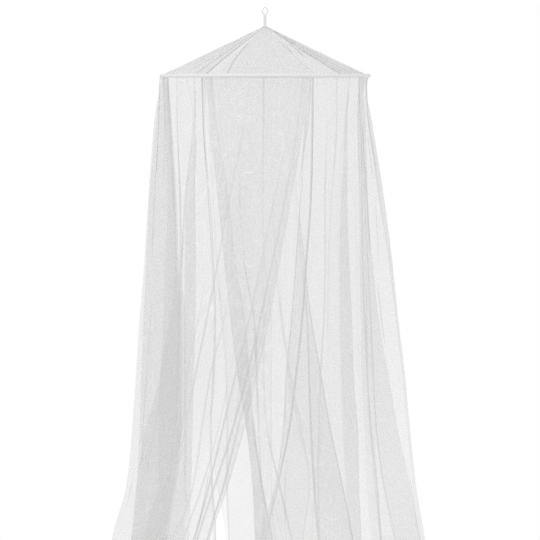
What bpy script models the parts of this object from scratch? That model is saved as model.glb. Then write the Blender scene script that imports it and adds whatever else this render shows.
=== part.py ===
"""A round mosquito net canopy: hanging ring, strap, net cone, sleeved hoop and three net panels.

Metres, +Z up. The origin is where a hook bears on the inside of the hanging ring's top.
-Y is the front, where two panels overlap; -X is the canopy's left side.
"""

import math

import bmesh
import bpy

# ---------------------------------------------------------------- sizes, in metres
RING_WIRE = 0.0028
RING_HALF_WIDTH = 0.0070  # to the middle of the wire
RING_HEIGHT = 0.0214  # between the wire's middles

STRAP_WIDTH = 0.0080
STRAP_THICK = 0.0011
STRAP_GAP = 0.0012  # between the strap's two tails
STRAP_END = -0.0600

CONE_TIP = -0.0510
CONE_TIP_RADIUS = 0.0085
CONE_PLEATS = 26

HOOP_LEVEL = -0.1935
HOOP_RADIUS = 0.2960
HOOP_ROD = 0.0036  # the rod's own radius
SLEEVE_INNER = 0.0045
SLEEVE_CLOTH = 0.0012
SLEEVE_MOUTH = math.radians(1.0)  # half of the opening where the hoop goes in
SLEEVE_BUNCH = 0.0016  # extra radius of the cloth bunched at the mouth

CLOTH = 0.0012  # thickness of a net sheet with its yarns
CLEAR = 0.0005  # between the sleeve and the cloth sewn to it
HEM_LEVEL = -2.3000

AROUND = 60  # facets round the hoop

# The half-widths of the hanging net, and how deep it is from its middle to its front or back.
FORM_LEVELS = (-0.20, -0.55, -0.89, -1.20, -1.52, HEM_LEVEL)
FORM_DEPTH = (0.297, 0.300, 0.318, 0.345, 0.375, 0.450)

# Each panel is drawn from its front (or left) edge to its other edge. A row is one fold line or edge.
# angle: degrees round the hoop from the front middle, positive to the right.
# tier: which layer it is sewn on at the hoop, in steps of TIER outwards.
# x055 .. x230: sideways place in millimetres at 0.55, 0.89, 1.20, 1.52 and 2.30 m down.
# depth: share of the net's depth, -1 at the front, 1 at the back.
TIER = 0.0026
LOOSER = 11.0  # how fast the layers part below the hoop, for each metre
STATION = ("name", "angle", "tier", "x055", "x089", "x120", "x152", "x230", "depth")

LEFT_PANEL = (
    ("edge_front", 25.5, 1.6, 74, 14, -63, -158, -330, -1.03),
    ("ridge_a", 16, 1.6, 26, -49, -126, -229, -395, -1.08),
    ("trough_a", 2, 1.6, -43, -111, -177, -266, -430, -0.98),
    ("ridge_b", -10, 1.6, -109, -171, -234, -306, -449, -1.00),
    ("trough_b", -38, 1.6, -191, -197, -226, -329, -460, -0.88),
    ("pleat_out", -81, 2.1, -320, -343, -340, -391, -494, -0.62),
    ("pleat_in", -65, 0.6, -257, -243, -240, -226, -277, -0.46),
    ("limb_front", -88, -0.7, -329, -351, -367, -419, -495, -0.16),
    ("limb_back", -101, -0.7, -327, -348, -364, -416, -491, 0.16),
    ("back_pleat_in", -122, -0.9, -271, -249, -243, -249, -300, 0.50),
    ("back_pleat_out", -112, 0.4, -294, -306, -329, -363, -443, 0.66),
    ("back_ridge", -130, 0.8, -214, -203, -209, -226, -271, 0.86),
    ("edge_back", -143.0, 0.8, -161, -147, -157, -143, -151, 0.90),
)

RIGHT_PANEL = (
    ("edge_front", -35, -1.0, -134, -97, -54, -26, 71, -0.92),
    ("ridge_a", -14, -1.0, -43, -9, 20, 43, 134, -0.96),
    ("trough_a", 4, -1.0, 49, 60, 77, 100, 191, -0.87),
    ("ridge_b", 33, -1.0, 169, 160, 157, 151, 249, -0.89),
    ("pleat_out", 55, -1.0, 237, 243, 260, 274, 363, -0.66),
    ("pleat_in", 48, 0.9, 220, 217, 226, 246, 323, -0.83),
    ("limb_pleat_out", 76, 1.5, 303, 329, 380, 426, 523, -0.50),
    ("limb_pleat_in", 62, -0.2, 271, 274, 283, 306, 391, -0.46),
    ("limb_front", 85, -1.3, 332, 371, 399, 439, 540, -0.14),
    ("limb_back", 100, -0.4, 332, 371, 399, 439, 542, 0.18),
    ("back_ridge", 122, 0.6, 249, 266, 289, 306, 409, 0.78),
    ("back_trough", 138, 1.0, 186, 180, 174, 151, 186, 0.90),
    ("edge_back", 152.3, 1.0, 130, 103, 71, 0, -71, 0.99),
)

BACK_PANEL = (
    ("edge_left", 215.4, -0.8, -151, -109, -106, -100, -94, 0.88),
    ("trough_a", 198, -0.8, -77, -60, -54, -43, -26, 0.78),
    ("pleat_right", 179, -0.8, 3, 3, 14, 31, 71, 0.80),
    ("pleat_left", 182, 0.5, -9, -3, 3, 14, 49, 0.87),
    ("trough_b", 168, -0.8, 66, 71, 89, 117, 186, 0.74),
    ("edge_right", 153.8, -0.9, 124, 134, 186, 254, 386, 0.70),
)

PANEL_LEVELS = (-0.30, -0.42, -0.55, -0.72, -0.89, -1.04, -1.20, -1.36, -1.52, -1.90, HEM_LEVEL)
STEPS = 4  # facets between two stations

# ---------------------------------------------------------------- helpers


def start_clean():
    for thing in list(bpy.data.objects):
        bpy.data.objects.remove(thing, do_unlink=True)
    for group in list(bpy.data.collections):
        bpy.data.collections.remove(group)


def new_collection(name):
    group = bpy.data.collections.new(name)
    bpy.context.scene.collection.children.link(group)
    return group


def finish_material(name, colour, roughness, metallic=0.0, alpha=1.0):
    material = bpy.data.materials.new(name)
    material.use_nodes = True
    shader = material.node_tree.nodes["Principled BSDF"]
    shader.inputs["Base Color"].default_value = (*colour, 1.0)
    shader.inputs["Roughness"].default_value = roughness
    shader.inputs["Metallic"].default_value = metallic
    shader.inputs["Alpha"].default_value = alpha
    return material


def lofted(name, rows, closed, material, group):
    """An open sheet, or a tube if closed, through rows of points that run the same way."""
    mesh = bpy.data.meshes.new(name)
    shape = bmesh.new()
    grid = [[shape.verts.new(point) for point in row] for row in rows]
    across = len(rows[0])
    for upper, lower in zip(grid, grid[1:]):
        for i in range(across if closed else across - 1):
            j = (i + 1) % across
            shape.faces.new((upper[i], upper[j], lower[j], lower[i]))
    bmesh.ops.recalc_face_normals(shape, faces=shape.faces)
    shape.to_mesh(mesh)
    shape.free()
    mesh.shade_smooth()
    thing = bpy.data.objects.new(name, mesh)
    mesh.materials.append(material)
    group.objects.link(thing)
    return thing


def thicken(thing, thickness, offset=0.0):
    shell = thing.modifiers.new("Cloth", "SOLIDIFY")
    shell.thickness = thickness
    shell.offset = offset
    shell.use_rim = True


def eased(values, keys, at):
    """Smooth reading of a table column: values at rising keys, with no overshoot."""
    order = sorted(range(len(keys)), key=lambda i: keys[i])
    ks = [keys[i] for i in order]
    vs = [values[i] for i in order]
    if at <= ks[0]:
        return vs[0]
    if at >= ks[-1]:
        return vs[-1]
    slopes = [(vs[i + 1] - vs[i]) / (ks[i + 1] - ks[i]) for i in range(len(ks) - 1)]
    tangents = [slopes[0]]
    for a, b in zip(slopes, slopes[1:]):
        tangents.append(0.0 if a * b <= 0 else 2 * a * b / (a + b))
    tangents.append(slopes[-1])
    for i in range(len(ks) - 1):
        if at <= ks[i + 1]:
            h = ks[i + 1] - ks[i]
            t = (at - ks[i]) / h
            return (
                vs[i] * (1 + 2 * t) * (1 - t) ** 2
                + tangents[i] * h * t * (1 - t) ** 2
                + vs[i + 1] * t * t * (3 - 2 * t)
                + tangents[i + 1] * h * t * t * (t - 1)
            )
    return vs[-1]


# ---------------------------------------------------------------- pieces


def make_ring(material, group):
    """An upright oval of wire; the origin is on the inside of its top."""
    top = RING_WIRE / 2
    middle = top - RING_HEIGHT / 2
    curve = bpy.data.curves.new("hanging_ring", "CURVE")
    curve.dimensions = "3D"
    curve.bevel_depth = RING_WIRE / 2
    curve.bevel_resolution = 2
    line = curve.splines.new("POLY")
    count = 28
    line.points.add(count - 1)
    for i in range(count):
        turn = 2 * math.pi * i / count
        x = RING_HALF_WIDTH * math.sin(turn)
        z = middle + RING_HEIGHT / 2 * math.cos(turn)
        line.points[i].co = (x, 0.0, z, 1.0)
    line.use_cyclic_u = True
    thing = bpy.data.objects.new("hanging_ring", curve)
    curve.materials.append(material)
    group.objects.link(thing)
    return thing


def make_strap(material, group):
    """Tape folded over the ring's lower bar: its middle line in the YZ plane, swept along X and thickened."""
    bar = RING_WIRE / 2 - RING_HEIGHT  # middle of the ring's lower bar
    loop = RING_WIRE / 2 + 0.0013  # the fold, clear of the wire
    half = STRAP_GAP / 2 + STRAP_THICK / 2
    profile = [(half, STRAP_END), (half, bar - 0.0135), (loop * 0.98, bar - 0.0030)]
    radius = loop + STRAP_THICK / 2
    for i in range(9):
        turn = math.radians(-20 + 220 * i / 8)
        profile.append((radius * math.cos(turn), bar + radius * math.sin(turn)))
    profile += [(-loop * 0.98, bar - 0.0030), (-half, bar - 0.0135), (-half, STRAP_END)]
    top_half = STRAP_WIDTH / 2
    end_half = top_half * 0.86
    rows = []
    for side in (-1, -0.6, -0.2, 0.2, 0.6, 1):
        row = []
        for y, z in profile:
            share = min(max((z - STRAP_END) / (bar - STRAP_END), 0.0), 1.0)
            x = side * (end_half + (top_half - end_half) * share)
            # The bar curves up towards the ring's sides, and the tape is drawn up with it.
            rise = RING_HEIGHT / 2 * (1 - math.sqrt(1 - (x / RING_HALF_WIDTH) ** 2))
            near = min(max((z - bar + 0.0135) / 0.0100, 0.0), 1.0)
            row.append((x, y, z + rise * near))
        rows.append(row)
    thing = lofted("hanging_strap", rows, False, material, group)
    thicken(thing, STRAP_THICK)
    return thing


def make_cone(material, group):
    """One pleated sheet from the strap down to the top of the sleeve."""
    foot_z = HOOP_LEVEL + SLEEVE_INNER + SLEEVE_CLOTH + CLEAR + CLOTH / 2
    foot_r = HOOP_RADIUS - 0.0035
    rows = []
    for share in (0.0, 0.05, 0.2, 0.45, 0.72, 1.0):
        row = []
        for i in range(AROUND):
            turn = 2 * math.pi * i / AROUND
            drawn = math.sin(CONE_PLEATS * turn + 1.1 * math.sin(3 * turn)) * math.sin(math.pi * share) ** 0.7
            uneven = 0.75 + 0.25 * math.sin(2 * turn + 0.6)
            lift = 0.0022 * drawn * uneven
            radius = CONE_TIP_RADIUS + (foot_r - CONE_TIP_RADIUS) * share
            z = CONE_TIP + (foot_z - CONE_TIP) * share
            row.append((radius * math.sin(turn) + 0.4 * lift * math.sin(turn),
                        -radius * math.cos(turn) - 0.4 * lift * math.cos(turn),
                        z + lift))
        rows.append(row)
    thing = lofted("canopy_top", rows, True, material, group)
    thicken(thing, CLOTH)
    return thing


def make_hoop(material, group):
    bpy.ops.mesh.primitive_torus_add(
        major_segments=AROUND,
        minor_segments=8,
        major_radius=HOOP_RADIUS,
        minor_radius=HOOP_ROD,
        location=(0.0, 0.0, HOOP_LEVEL),
    )
    thing = bpy.context.object
    thing.name = "hoop"
    thing.data.name = "hoop"
    thing.data.shade_smooth()
    thing.data.materials.append(material)
    for other in list(thing.users_collection):
        other.objects.unlink(thing)
    group.objects.link(thing)
    return thing


def make_sleeve(material, group):
    """A cloth tube round the hoop, open at its mouth at the right, where the cloth is bunched."""
    step = 2 * math.pi / AROUND
    turns = [SLEEVE_MOUTH, 0.45 * step] + [step * i for i in range(1, AROUND)]
    turns += [2 * math.pi - 0.45 * step, 2 * math.pi - SLEEVE_MOUTH]
    rows = []
    for turn in turns:
        away = min(turn, 2 * math.pi - turn) / step
        bunch = SLEEVE_BUNCH * math.exp(-(away ** 2))
        uneven = 0.00025 * math.sin(11 * turn)
        radius = SLEEVE_INNER + bunch + uneven * (away > 1)
        row = []
        for k in range(8):
            around = 2 * math.pi * k / 8
            out = HOOP_RADIUS + radius * math.cos(around)
            row.append((out * math.cos(turn), out * math.sin(turn), HOOP_LEVEL + radius * math.sin(around)))
        rows.append(row)
    thing = lofted("hoop_sleeve", rows, True, material, group)
    thicken(thing, SLEEVE_CLOTH, 1.0)
    return thing


def rounded(points, i, share):
    """A place between points i and i + 1 on the smooth curve through them all."""
    before = points[i - 1] if i else points[i]
    start, end = points[i], points[i + 1]
    after = points[i + 2] if i + 2 < len(points) else end
    t, place = share, []
    for a, b, c, d in zip(before, start, end, after):
        pull_b, pull_c = (c - a) * 0.42, (d - b) * 0.42
        place.append(
            b * (1 + 2 * t) * (1 - t) ** 2
            + pull_b * t * (1 - t) ** 2
            + c * t * t * (3 - 2 * t)
            + pull_c * t * t * (t - 1)
        )
    return place


def panel_rows(table, top):
    """The panel's middle surface: at each level, points from station to station, with round folds."""
    rows = []
    for level in (top, -0.235) + PANEL_LEVELS:
        depth_here = eased(FORM_DEPTH, FORM_LEVELS, level)
        fall = min(max((top - level) / 0.42, 0.0), 1.0)
        fall = fall * fall * (3 - 2 * fall)
        sewn, hung = [], []
        for row in table:
            station = dict(zip(STATION, row))
            turn = math.radians(station["angle"])
            radius = HOOP_RADIUS + station["tier"] * TIER * (1 + LOOSER * (top - level))
            column = [radius * math.sin(turn)] + [
                station[key] / 1000 for key in ("x055", "x089", "x120", "x152", "x230")
            ]
            x = eased(column, (top,) + FORM_LEVELS[1:], level)
            y = (1 - fall) * -radius * math.cos(turn) + fall * station["depth"] * depth_here
            sewn.append((turn, radius))
            hung.append((x, y))
        keep = (1 - fall) ** 3
        points = []
        for i in range(len(table) - 1):
            for step in range(STEPS + (i == len(table) - 2)):
                share = step / STEPS
                turn = sewn[i][0] + (sewn[i + 1][0] - sewn[i][0]) * share
                radius = sewn[i][1] + (sewn[i + 1][1] - sewn[i][1]) * share
                x, y = rounded(hung, i, share)
                points.append((
                    keep * radius * math.sin(turn) + (1 - keep) * x,
                    -keep * radius * math.cos(turn) + (1 - keep) * y,
                    level,
                ))
        rows.append(points)
    return rows


def make_panel(name, table, material, group):
    top = HOOP_LEVEL - SLEEVE_INNER - SLEEVE_CLOTH - 0.0003 - CLEAR
    thing = lofted(name, panel_rows(table, top), False, material, group)
    thicken(thing, CLOTH)
    return thing


# ---------------------------------------------------------------- the object


def main():
    start_clean()
    group = new_collection("mosquito_net_canopy")
    wire = finish_material("white_wire", (0.86, 0.86, 0.85), 0.35)
    rod = finish_material("white_rod", (0.88, 0.88, 0.87), 0.45)
    tape = finish_material("white_tape", (0.86, 0.86, 0.86), 0.85)
    binding = finish_material("white_sleeve_cloth", (0.88, 0.88, 0.88), 0.85)
    net = finish_material("white_net", (0.88, 0.88, 0.88), 0.9, alpha=0.35)
    make_ring(wire, group)
    make_strap(tape, group)
    make_cone(net, group)
    make_hoop(rod, group)
    make_sleeve(binding, group)
    make_panel("skirt_left", LEFT_PANEL, net, group)
    make_panel("skirt_right", RIGHT_PANEL, net, group)
    make_panel("skirt_back", BACK_PANEL, net, group)


main()
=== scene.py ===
import math

import bmesh
import bpy
import numpy as np
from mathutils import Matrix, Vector


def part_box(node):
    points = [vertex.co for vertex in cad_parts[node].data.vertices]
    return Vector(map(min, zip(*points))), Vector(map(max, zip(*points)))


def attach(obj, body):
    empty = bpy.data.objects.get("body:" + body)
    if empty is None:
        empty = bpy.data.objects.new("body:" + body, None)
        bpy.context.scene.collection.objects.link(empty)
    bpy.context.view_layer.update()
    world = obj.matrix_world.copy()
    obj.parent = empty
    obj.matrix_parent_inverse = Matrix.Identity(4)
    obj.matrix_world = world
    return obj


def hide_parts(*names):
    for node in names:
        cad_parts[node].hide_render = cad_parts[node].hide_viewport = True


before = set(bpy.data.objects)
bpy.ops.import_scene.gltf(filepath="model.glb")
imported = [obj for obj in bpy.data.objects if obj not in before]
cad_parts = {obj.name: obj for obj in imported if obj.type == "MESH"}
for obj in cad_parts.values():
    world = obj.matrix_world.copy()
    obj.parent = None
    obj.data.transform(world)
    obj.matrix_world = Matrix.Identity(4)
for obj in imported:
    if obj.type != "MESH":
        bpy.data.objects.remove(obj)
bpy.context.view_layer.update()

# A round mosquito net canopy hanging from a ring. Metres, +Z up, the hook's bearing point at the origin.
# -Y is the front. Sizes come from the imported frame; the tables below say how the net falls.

# ---------------------------------------------------------------- places in the frame
ring_lo, ring_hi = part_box("hanging_ring")
strap_lo, strap_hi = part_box("hanging_strap")
cone_lo, cone_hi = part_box("canopy_top")
hoop_lo, hoop_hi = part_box("hoop")
sleeve_lo, sleeve_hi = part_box("hoop_sleeve")
skirt_lo, skirt_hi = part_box("skirt_left")

HOOP_Z = (hoop_lo.z + hoop_hi.z) / 2
HOOP_ROD = (hoop_hi.z - hoop_lo.z) / 2
HOOP_R = (hoop_hi.x - hoop_lo.x) / 2 - HOOP_ROD
SKIRT_TOP = skirt_hi.z
HEM_Z = skirt_lo.z

# ---------------------------------------------------------------- how the net falls
# How deep the hanging net is, from its middle to its front or back, at some levels.
FORM_LEVELS = (-0.20, -0.55, -0.89, -1.20, -1.52, -2.30)
FORM_DEPTH = (0.297, 0.300, 0.318, 0.345, 0.375, 0.450)

# Levels, in metres, at which the fold tables give a fold's sideways place in millimetres.
FOLD_LEVELS = (-0.25, -0.30, -0.55, -0.72, -0.89, -1.04, -1.20, -1.36, -1.52, -2.30)
# Levels at which the thread tables say how dense the net is.
THREAD_LEVELS = (-0.30, -0.72, -1.04, -1.36, -1.52)

# A row is one fold line, crease or edge. angle: place on the hoop in degrees from the front, right positive.
# tier: layer at the hoop. x025 .. x230: sideways place in mm at 0.25 .. 2.30 m down. depth: -1 front, 1 back.
# width: half of the line's own width in mm. n030 .. n152: layers of yarn from this line to the next one.
# c030 .. c152: extra yarn drawn together on the line itself.
COLUMNS = ("line", "angle", "tier", "x025", "x030", "x055", "x072", "x089", "x104", "x120", "x136", "x152", "x230", "depth", "width",
           "n030", "n072", "n104", "n136", "n152", "c030", "c072", "c104", "c136", "c152")
LEFT = (
    ("front_edge", 24.8, 1.6, 119, 114, 74, 43, 13, -20, -59, -105, -159, -326, -1.03, 2.5, 1.3, 1.3, 1.3, 1.3, 1.2, 1.8, 1.5, 1.5, 3.8, 5.2),
    ("hem_fold", 23.0, 1.6, 112, 109, 66, 33, -1, -37, -78, -118, -166, -337, -1.04, 2.1, 1.4, 1.4, 1.4, 1.2, 1.1, 0.4, 0.6, 2.2, 5.2, 6.8),
    ("hem_line", 21.2, 1.6, 102, 97, 54, 20, -16, -51, -93, -143, -194, -366, -1.05, 2.1, 0.9, 0.9, 1.0, 1.0, 1.0, 1.5, 3.3, 5.2, 6.8, 6.8),
    ("fold_a", 18.0, 1.6, 83, 75, 25, -10, -46, -83, -121, -160, -202, -417, -1.07, 2.1, 0.9, 0.9, 1.0, 1.0, 1.0, 0.6, 3.6, 9.0, 6.8, 6.0),
    ("fold_b", 12.0, 1.6, 52, 43, -9, -40, -71, -101, -134, -179, -234, -434, -1.03, 2.1, 0.9, 0.9, 1.0, 0.8, 0.7, 0.0, 0.4, 1.5, 4.5, 5.2),
    ("fold_g", 4.0, 1.6, 6, -9, -54, -83, -117, -154, -180, -205, -257, -445, -1.01, 2.1, 0.9, 1.0, 1.0, 0.7, 0.6, 0.0, 0.4, 4.5, 3.0, 1.5),
    ("fold_c", -7.8, 1.6, -47, -54, -103, -134, -167, -197, -228, -255, -282, -456, -1.00, 2.1, 0.9, 1.0, 0.9, 0.7, 0.6, 0.6, 5.2, 12.0, 10.5, 4.5),
    ("fold_d", -48.0, 1.6, -212, -204, -227, -237, -239, -240, -252, -288, -316, -474, -0.84, 2.1, 0.9, 0.9, 1.0, 1.0, 0.9, 1.5, 6.0, 6.0, 2.2, 1.5),
    ("pleat_out", -86.0, 2.1, -302, -308, -330, -338, -346, -352, -357, -365, -380, -492, -0.62, 2.2, 0.8, 0.8, 0.8, 0.7, 0.7, 1.5, 2.2, 5.2, 7.5, 7.5),
    ("pleat_in", -69.3, 0.6, -272, -268, -252, -245, -225, -224, -223, -226, -227, -276, -0.46, 2.2, 0.8, 0.8, 0.8, 0.7, 0.7, 2.2, 2.2, 1.5, 2.2, 2.2),
    ("limb_front", -88.0, -0.7, -304, -313, -334, -344, -358, -368, -379, -395, -437, -509, -0.16, 3.0, 1.0, 1.0, 1.0, 1.0, 1.3, 1.2, 1.2, 1.2, 1.2, 1.5),
    ("limb_back", -101.0, -0.7, -301, -311, -333, -343, -357, -367, -378, -394, -435, -507, 0.16, 3.0, 0.8, 0.8, 0.8, 0.8, 0.8, 0.4, 0.4, 0.3, 0.3, 0.3),
    ("back_pleat_in", -110.7, -0.9, -274, -271, -257, -251, -238, -237, -238, -256, -277, -312, 0.50, 2.2, 0.7, 0.8, 0.8, 0.8, 0.8, 1.5, 1.5, 1.2, 1.2, 1.2),
    ("deep_out", -108.5, -0.6, -277, -274, -263, -258, -273, -299, -304, -305, -345, -401, 0.54, 2.2, 0.4, 0.4, 0.6, 0.6, 0.6, 0.3, 0.6, 1.5, 1.5, 1.5),
    ("deep_in", -109.5, -0.2, -276, -272, -259, -253, -241, -239, -241, -259, -285, -331, 0.58, 2.2, 0.4, 0.4, 0.6, 0.6, 0.6, 0.3, 0.6, 1.5, 1.5, 1.5),
    ("back_pleat_out", -104.0, 0.4, -287, -287, -278, -287, -291, -300, -342, -368, -384, -461, 0.66, 2.2, 0.7, 0.8, 0.8, 0.8, 0.8, 0.9, 1.2, 2.4, 3.0, 3.0),
    ("back_fold", -121.5, 0.6, -252, -252, -244, -242, -247, -252, -258, -278, -301, -358, 0.76, 2.1, 0.9, 0.9, 0.9, 0.9, 0.9, 1.8, 3.0, 2.2, 1.2, 0.6),
    ("back_ridge_out", -137.5, 0.9, -199, -198, -201, -198, -200, -204, -208, -212, -219, -255, 0.84, 2.2, 0.3, 0.6, 0.6, 0.4, 0.4, 0.8, 1.8, 1.8, 1.2, 0.8),
    ("back_ridge_in", -136.8, 0.4, -203, -204, -228, -230, -232, -233, -232, -228, -223, -250, 0.88, 2.2, 0.9, 0.9, 0.9, 0.5, 0.4, 0.6, 2.2, 3.0, 2.2, 0.8),
    ("back_hem", -142.5, 0.8, -179, -178, -163, -153, -146, -149, -158, -155, -147, -164, 0.90, 2.1, 1.0, 1.0, 1.0, 1.0, 1.0, 5.2, 3.0, 3.0, 3.0, 2.2),
    ("back_edge", -145.0, 0.8, -171, -172, -157, -147, -141, -144, -154, -150, -141, -152, 0.91, 2.5, 0.0, 0.0, 0.0, 0.0, 0.0, 4.5, 9.0, 12.0, 13.5, 12.0),
)
RIGHT = (
    ("front_edge", -35.0, -1.0, -164, -159, -133, -116, -98, -79, -53, -35, -27, 71, -0.92, 2.5, 1.5, 1.7, 2.3, 4.0, 4.6, 1.2, 1.5, 1.8, 3.0, 3.0),
    ("hem_line", -31.0, -1.0, -147, -142, -103, -85, -58, -46, -30, -8, 22, 116, -0.94, 2.1, 0.9, 1.0, 1.0, 1.1, 1.0, 0.9, 1.5, 2.2, 3.8, 3.8),
    ("fold_w", -2.0, -1.0, -10, -9, -9, -6, -3, -3, 8, 42, 77, 185, -0.96, 2.1, 0.9, 0.9, 0.9, 0.9, 0.8, 0.0, 0.6, 2.2, 6.8, 6.8),
    ("fold_x", 4.0, -1.0, 19, 17, 23, 31, 51, 71, 103, 125, 109, 190, -0.88, 2.1, 0.9, 1.0, 1.0, 0.8, 0.5, 0.0, 1.2, 3.6, 2.2, 1.5),
    ("fold_y", 35.0, -1.0, 174, 177, 169, 170, 166, 157, 153, 152, 155, 241, -0.89, 2.1, 1.0, 1.0, 1.0, 0.9, 0.9, 0.3, 4.5, 5.2, 4.5, 2.2),
    ("fold_z", 44.0, -1.0, 205, 205, 190, 182, 179, 182, 188, 193, 203, 281, -0.86, 2.1, 1.0, 1.0, 1.0, 0.9, 0.9, 2.1, 1.2, 0.3, 0.3, 0.0),
    ("pleat_out", 54.8, -1.0, 239, 235, 235, 240, 248, 253, 263, 267, 274, 367, -0.66, 2.2, 0.4, 0.5, 0.5, 0.5, 0.5, 1.2, 1.5, 1.2, 1.2, 1.2),
    ("pleat_in", 54.2, 0.9, 235, 229, 219, 212, 213, 216, 222, 230, 243, 327, -0.83, 2.2, 0.9, 0.9, 0.8, 0.6, 0.6, 1.2, 1.8, 1.5, 1.8, 1.8),
    ("fold_r", 68.0, 1.2, 267, 273, 276, 278, 283, 290, 302, 318, 330, 418, -0.66, 2.1, 0.9, 0.9, 0.7, 0.3, 0.3, 2.2, 4.5, 5.2, 6.0, 6.0),
    ("fold_s", 71.0, 1.3, 275, 279, 285, 293, 302, 308, 318, 339, 371, 464, -0.60, 2.1, 0.8, 0.8, 0.8, 1.1, 1.3, 3.0, 5.2, 5.2, 3.8, 2.2),
    ("limb_pleat_out", 76.0, 1.5, 280, 286, 293, 306, 324, 350, 378, 412, 439, 521, -0.50, 2.2, 0.7, 0.7, 0.6, 0.3, 0.3, 3.0, 4.5, 6.0, 8.2, 9.0),
    ("limb_pleat_in", 65.0, -0.2, 266, 264, 269, 270, 273, 276, 283, 291, 307, 390, -0.46, 2.2, 0.7, 0.6, 0.5, 0.4, 0.3, 1.8, 2.2, 2.2, 2.2, 2.2),
    ("limb_line", 82.0, -1.1, 286, 291, 327, 354, 374, 391, 406, 422, 443, 533, -0.26, 2.1, 1.9, 1.8, 1.2, 0.9, 0.9, 3.8, 3.8, 1.5, 0.9, 0.9),
    ("limb_front", 87.0, -1.3, 290, 300, 341, 363, 381, 399, 414, 431, 457, 548, -0.14, 3.0, 1.4, 1.3, 1.0, 0.8, 0.9, 1.8, 1.8, 0.9, 0.6, 0.6),
    ("limb_back", 100.0, -0.4, 290, 300, 341, 363, 381, 399, 414, 431, 457, 551, 0.18, 3.0, 1.0, 1.0, 0.9, 0.7, 0.8, 0.4, 0.4, 0.3, 0.3, 0.3),
    ("back_ridge", 120.0, 0.6, 256, 255, 261, 264, 267, 272, 278, 290, 307, 404, 0.76, 2.2, 1.0, 1.0, 1.0, 0.8, 0.7, 0.3, 0.6, 0.6, 0.3, 0.3),
    ("back_trough", 138.0, 1.0, 196, 195, 187, 184, 181, 175, 164, 147, 135, 214, 0.88, 2.1, 1.0, 1.0, 1.0, 0.8, 0.8, 0.0, 0.4, 0.4, 0.6, 0.6),
    ("back_hem", 152.5, 1.0, 137, 137, 132, 120, 108, 92, 72, 40, 5, -65, 0.97, 2.1, 1.0, 1.0, 1.0, 1.1, 1.0, 5.2, 6.8, 7.5, 6.8, 6.0),
    ("back_edge", 154.5, 1.0, 122, 116, 100, 88, 75, 61, 52, 31, -12, -88, 0.99, 2.5, 0.0, 0.0, 0.0, 0.0, 0.0, 1.5, 3.8, 4.5, 3.0, 2.2),
)
BACK = (
    ("left_edge", 215.4, -0.8, -171, -170, -155, -150, -146, -151, -156, -139, -112, -101, 0.82, 2.5, 0.9, 1.0, 0.9, 0.7, 0.3, 0.3, 0.3, 0.3, 0.6, 0.6),
    ("left_hem", 212.5, -0.8, -158, -158, -147, -138, -122, -111, -108, -108, -103, -94, 0.80, 2.1, 1.0, 1.0, 1.4, 1.0, 1.0, 0.3, 0.9, 1.8, 2.4, 2.1),
    ("fold_t", 200.0, -0.8, -98, -94, -83, -69, -54, -49, -46, -40, -32, 8, 0.76, 2.1, 0.9, 0.9, 0.9, 1.0, 1.0, 0.0, 0.4, 0.8, 0.4, 0.3),
    ("fold_u", 194.0, -0.8, -74, -77, -71, -60, -31, -24, -19, -11, -3, 31, 0.78, 2.1, 0.9, 1.0, 1.2, 1.0, 0.9, 0.0, 2.1, 3.8, 2.2, 1.2),
    ("pleat_right", 180.2, -0.8, -2, -2, -4, 0, 19, 19, 19, 20, 29, 71, 0.80, 2.2, 0.2, 0.2, 0.2, 0.2, 0.2, 0.6, 0.4, 0.3, 0.3, 0.3),
    ("pleat_left", 181.3, 0.5, -7, -7, -7, -3, 16, 16, 16, 17, 26, 60, 0.85, 2.2, 0.9, 0.9, 0.9, 0.8, 0.8, 0.6, 0.4, 0.3, 0.3, 0.3),
    ("fold_p", 163.0, -0.8, 88, 89, 89, 104, 120, 125, 131, 140, 153, 231, 0.76, 2.1, 0.9, 1.0, 1.3, 1.4, 1.2, 0.0, 1.5, 6.0, 6.0, 3.8),
    ("right_edge", 153.3, -0.9, 130, 126, 98, 114, 134, 160, 188, 222, 253, 380, 0.72, 2.5, 0.0, 0.0, 0.0, 0.0, 0.0, 0.3, 4.5, 6.8, 6.0, 6.8),
)

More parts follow.
